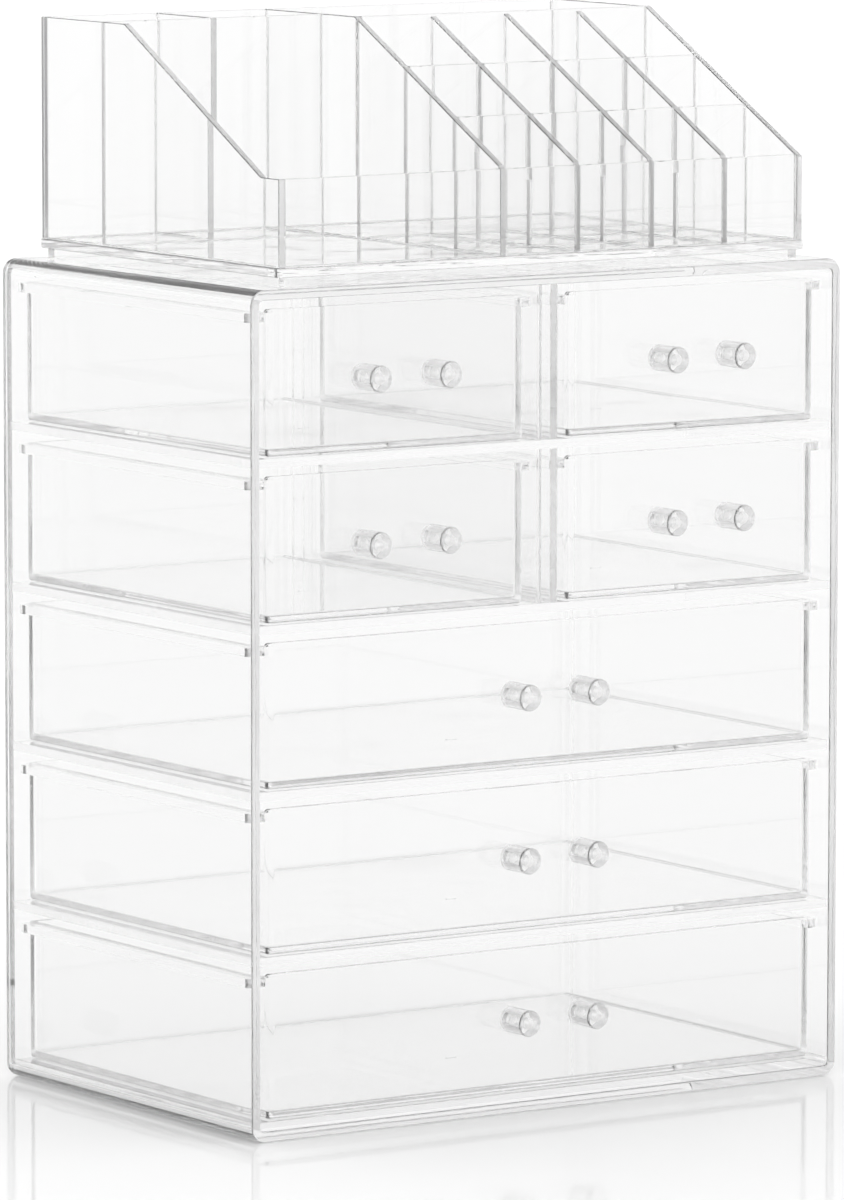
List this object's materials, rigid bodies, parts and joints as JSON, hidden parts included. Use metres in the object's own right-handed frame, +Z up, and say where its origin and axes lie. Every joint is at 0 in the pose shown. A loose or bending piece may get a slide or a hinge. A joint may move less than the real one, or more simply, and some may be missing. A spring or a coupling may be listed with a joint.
{
  "type": "drawer organizer with compartment tray",
  "caption": "Clear plastic dressing-table organizer: a cabinet of stacked shallow drawers with knobs, and a lift-off tray with sloped slots and tall wells on top.",
  "frame": {"origin": "centre of the cabinet's footprint, on the surface it stands on", "axes": "+Z up, -Y is the front that the drawers open towards, +X to the right of someone who faces the drawers"},
  "size_m": [0.24, 0.1646, 0.365],
  "materials": {
    "case_plastic": "clear moulded plastic, polished",
    "drawer_plastic": "clear moulded plastic, polished",
    "tray_plastic": "clear plastic plate with polished edges",
    "knob_plastic": "clear moulded plastic, polished"
  },
  "bodies": {
    "cabinet": {"case_shell": "case_plastic", "back_panel": "case_plastic", "floor_panel": "case_plastic", "shelf_1": "case_plastic", "shelf_2": "case_plastic", "shelf_3": "case_plastic", "shelf_4": "case_plastic", "second_partition": "case_plastic", "top_partition": "case_plastic"},
    "bottom_drawer": {"bottom_drawer_box": "drawer_plastic", "bottom_drawer_knobs": "knob_plastic"},
    "fourth_drawer": {"fourth_drawer_box": "drawer_plastic", "fourth_drawer_knobs": "knob_plastic"},
    "third_drawer": {"third_drawer_box": "drawer_plastic", "third_drawer_knobs": "knob_plastic"},
    "second_left_drawer": {"second_left_drawer_box": "drawer_plastic", "second_left_drawer_knobs": "knob_plastic"},
    "second_right_drawer": {"second_right_drawer_box": "drawer_plastic", "second_right_drawer_knobs": "knob_plastic"},
    "top_left_drawer": {"top_left_drawer_box": "drawer_plastic", "top_left_drawer_knobs": "knob_plastic"},
    "top_right_drawer": {"top_right_drawer_box": "drawer_plastic", "top_right_drawer_knobs": "knob_plastic"},
    "tray": {"tray_base": "tray_plastic", "tray_left_side": "tray_plastic", "tray_right_side": "tray_plastic", "tray_rear_wall": "tray_plastic", "tray_front_wall": "tray_plastic", "tray_main_divider": "tray_plastic", "tray_brush_wall": "tray_plastic", "tray_brush_divider": "tray_plastic", "tray_tall_wall": "tray_plastic", "tray_slot_divider_1": "tray_plastic", "tray_slot_divider_2": "tray_plastic", "tray_slot_divider_3": "tray_plastic", "tray_row_wall_1": "tray_plastic", "tray_row_wall_2": "tray_plastic"}
  },
  "joints": [
    {"name": "bottom_drawer_slide", "type": "slide", "parent": "cabinet", "child": "bottom_drawer", "axis": [0, -1, 0], "range_m": [0, 0.125]},
    {"name": "fourth_drawer_slide", "type": "slide", "parent": "cabinet", "child": "fourth_drawer", "axis": [0, -1, 0], "range_m": [0, 0.125]},
    {"name": "third_drawer_slide", "type": "slide", "parent": "cabinet", "child": "third_drawer", "axis": [0, -1, 0], "range_m": [0, 0.125]},
    {"name": "second_left_drawer_slide", "type": "slide", "parent": "cabinet", "child": "second_left_drawer", "axis": [0, -1, 0], "range_m": [0, 0.125]},
    {"name": "second_right_drawer_slide", "type": "slide", "parent": "cabinet", "child": "second_right_drawer", "axis": [0, -1, 0], "range_m": [0, 0.125]},
    {"name": "top_left_drawer_slide", "type": "slide", "parent": "cabinet", "child": "top_left_drawer", "axis": [0, -1, 0], "range_m": [0, 0.125]},
    {"name": "top_right_drawer_slide", "type": "slide", "parent": "cabinet", "child": "top_right_drawer", "axis": [0, -1, 0], "range_m": [0, 0.125]},
    {"name": "tray_lift", "type": "slide", "parent": "cabinet", "child": "tray", "axis": [0, 0, 1], "range_m": [0, 0.12]}
  ]
}
